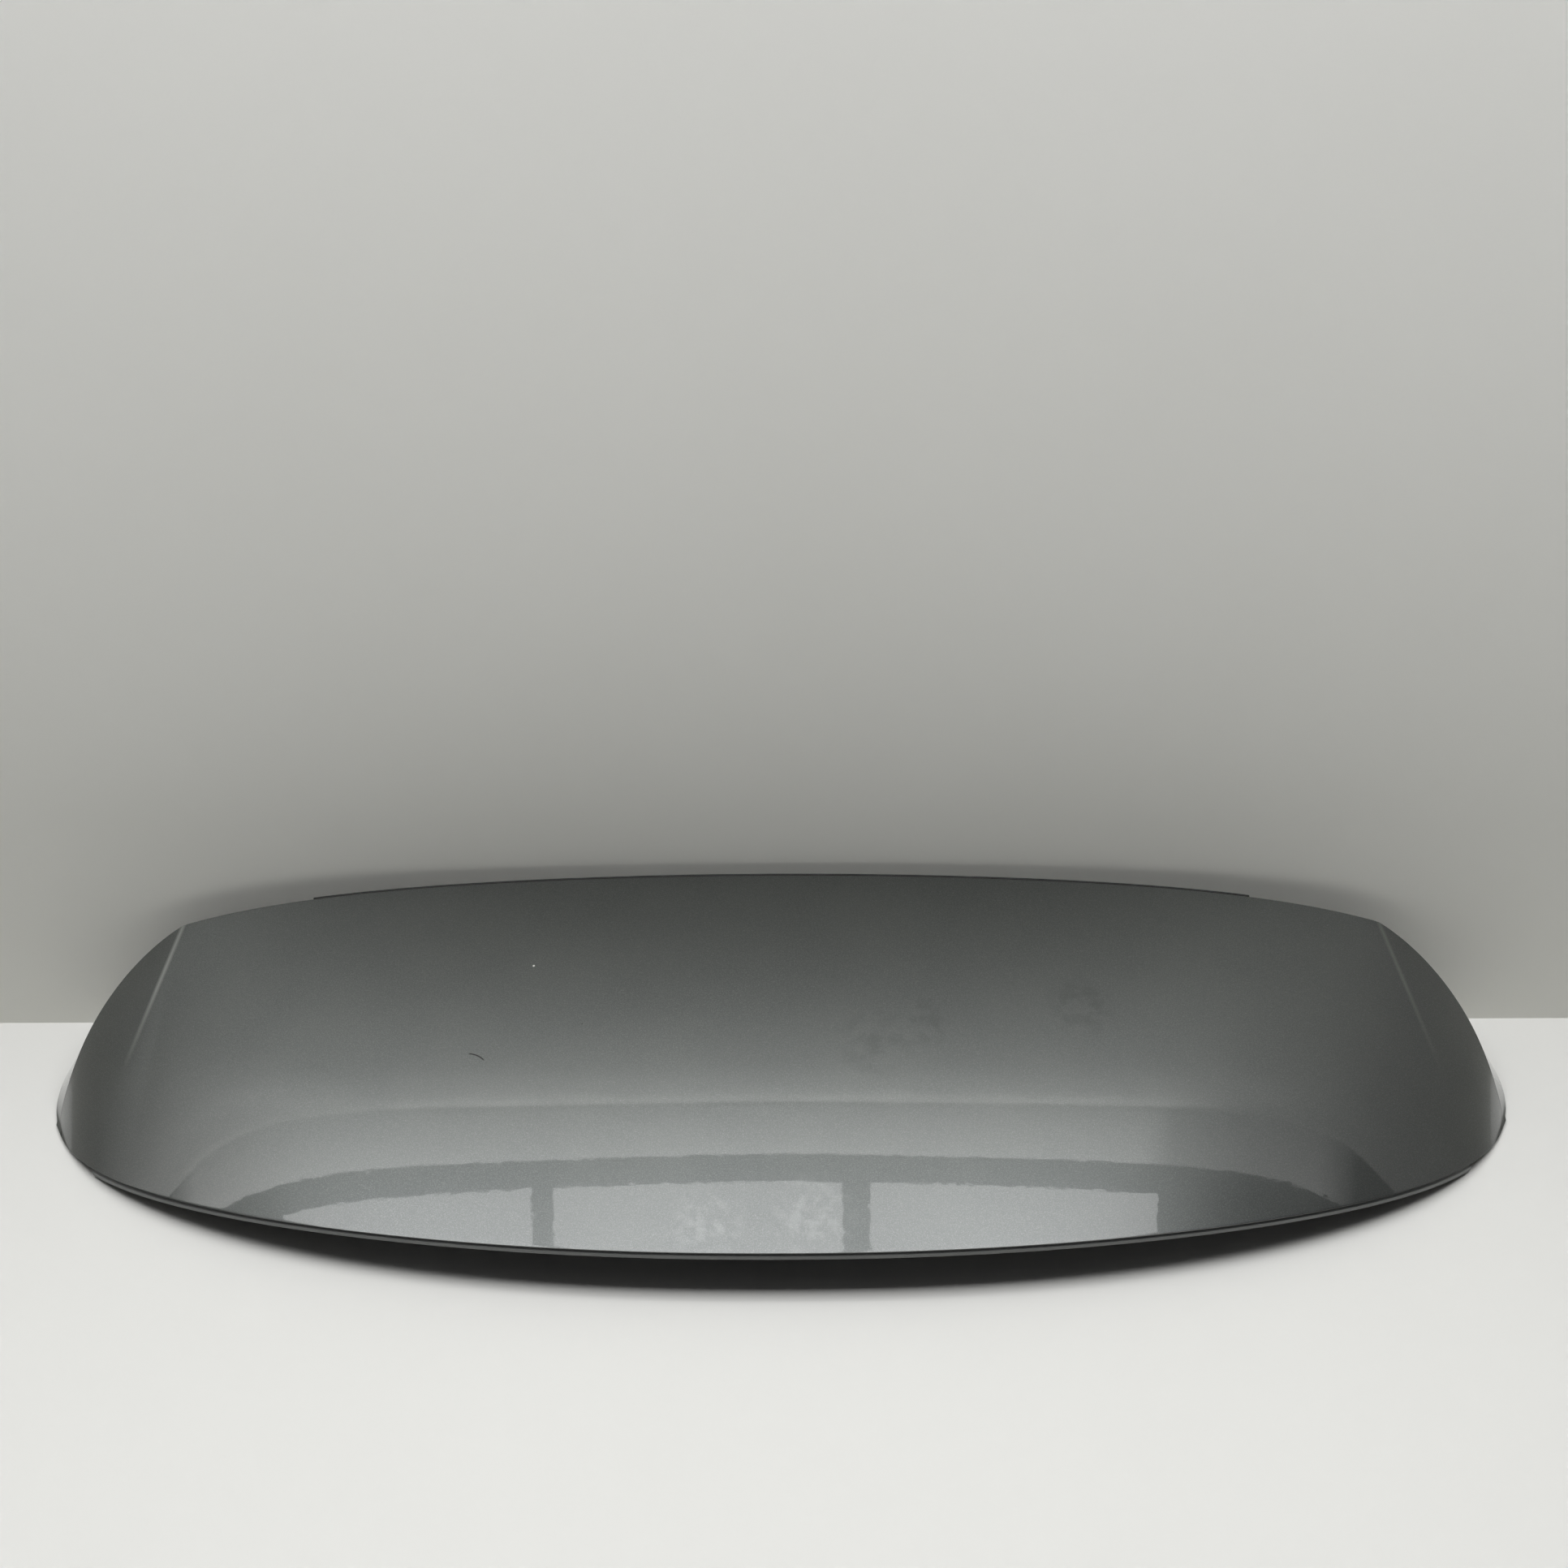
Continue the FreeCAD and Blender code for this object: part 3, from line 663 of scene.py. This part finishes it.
for name, corners in stage_points.items():
    sheet = new_piece(name, np.array(corners), np.array([[0, 1, 2, 3]]))
    finish, tree, inputs, place = new_finish(name + "_finish")
    axes = split(tree, place)
    # Painted shade: the colour darkens towards the foot of the wall below shade_height; the table lies at
    # zero height and keeps its low colour, with only the mottle.
    painted_shade_rise = ranged(tree, axes["Z"], 0.0, shade_height, 0.0, rise_share)
    mottle = ranged(tree, noise(tree, place, mottle_size, 2.0), 0.3, 0.7, 0.0, mottle_share)
    share = reckoned(tree, "ADD", painted_shade_rise, mottle)
    tree.links.new(blended(tree, share, stage_low[name], stage_high[name]), inputs["Base Color"])
    inputs["Roughness"].default_value = 0.9
    aside = ranged(tree, axes["X"], *side_glow_x, side_glow, 0.0)
    aside = reckoned(tree, "MULTIPLY", aside, ranged(tree, axes["Z"], *side_glow_z, 0.0, 1.0))
    above = ranged(tree, axes["Z"], top_glow_start, wall_height, 0.0, top_glow)
    inputs["Emission Color"].default_value = glow_colour
    tree.links.new(reckoned(tree, "ADD", aside, above), inputs["Emission Strength"])
    facing = tree.nodes.new("ShaderNodeNewGeometry").outputs["Backfacing"]
    clear = tree.nodes.new("ShaderNodeBsdfTransparent")
    either = tree.nodes.new("ShaderNodeMixShader")
    tree.links.new(facing, either.inputs[0])
    tree.links.new(tree.nodes["Principled BSDF"].outputs[0], either.inputs[1])
    tree.links.new(clear.outputs[0], either.inputs[2])
    tree.links.new(either.outputs[0], tree.nodes["Material Output"].inputs["Surface"])
    sheet.data.materials.append(finish)

room_light = (0.07, 0.07, 0.07)
room_backdrop = (0.78, 0.78, 0.76)
world = bpy.data.worlds.new("room")
bpy.context.scene.world = world
world.use_nodes = True
room = world.node_tree
camera_ray = room.nodes.new("ShaderNodeLightPath").outputs["Is Camera Ray"]
room_colour = blended(room, camera_ray, room_light, room_backdrop)
room.links.new(room_colour, room.nodes["Background"].inputs["Color"])


def overhead(name, x_start, x_end, y_start, y_end, height, radiance):
    """Rectangular panel that shines straight down; its power is pi times radiance times area."""
    width = x_end - x_start
    depth = y_end - y_start
    lamp = bpy.data.lights.new(name, "AREA")
    lamp.shape = "RECTANGLE"
    lamp.size = width
    lamp.size_y = depth
    lamp.energy = radiance * math.pi * width * depth
    holder = bpy.data.objects.new(name, lamp)
    holder.location = ((x_start + x_end) / 2, (y_start + y_end) / 2, height)
    bpy.context.scene.collection.objects.link(holder)
    return holder


panel_height = 2.0
panel_radiance = 3.6
panel_front = -1.30
panel_back = -0.115
panel_sides = {"left": (-1.86, -0.69), "middle": (-0.62, 0.15), "right": (0.22, 1.17)}
for name, sides in panel_sides.items():
    panel = overhead("panel_" + name, *sides, panel_front, panel_back, panel_height, panel_radiance)
    panel.visible_diffuse = False
key_reach = 1.2
key_front = -0.62
key_back = 0.06
key_radiance = 10.2
key = overhead("key", -key_reach, key_reach, key_front, key_back, panel_height, key_radiance)
key.visible_glossy = False
ceiling_start = -0.020
ceiling_left = -3.2
ceiling_right = 2.6
ceiling_fade = 0.4
ceiling_gap = 0.03
ceiling_z = panel_height + ceiling_gap
ceiling_glow = (2.7, 1.0)
ceiling_dim_x = (1.12, 1.24)
ceiling_dim = 0.45
ceiling_corners = [
    [ceiling_left, ceiling_start, ceiling_z],
    [ceiling_left, wall_y, ceiling_z],
    [ceiling_right, wall_y, ceiling_z],
    [ceiling_right, ceiling_start, ceiling_z],
]
ceiling = new_piece("ceiling", np.array(ceiling_corners), np.array([[0, 1, 2, 3]]))
finish, tree, inputs, place = new_finish("ceiling_light")
axes = split(tree, place)
glow = ranged(tree, axes["Y"], ceiling_start, wall_y, *ceiling_glow)
dimmed = ranged(tree, axes["X"], *ceiling_dim_x, 1.0, ceiling_dim)
glow = reckoned(tree, "MULTIPLY", glow, dimmed)
for edge, step in ((ceiling_left, ceiling_fade), (ceiling_right, -ceiling_fade)):
    faded = ranged(tree, axes["X"], edge, edge + step, 0.0, 1.0)
    glow = reckoned(tree, "MULTIPLY", glow, faded)
inputs["Base Color"].default_value = (0.5, 0.5, 0.5, 1.0)
inputs["Emission Color"].default_value = (1.0, 1.0, 0.98, 1.0)
tree.links.new(glow, inputs["Emission Strength"])
ceiling.data.materials.append(finish)

camera_dip = 27.56
camera_pan = -0.30
camera_data = bpy.data.cameras.new("camera")
camera_data.lens = 36.0
camera_data.sensor_width = 36.0
camera = bpy.data.objects.new("camera", camera_data)
camera.location = (-0.0041, -0.9437, 0.8103)
camera.rotation_euler = (math.radians(90.0 - camera_dip), 0.0, math.radians(camera_pan))
bpy.context.scene.collection.objects.link(camera)
bpy.context.scene.camera = camera
bpy.context.scene.view_settings.view_transform = "Standard"
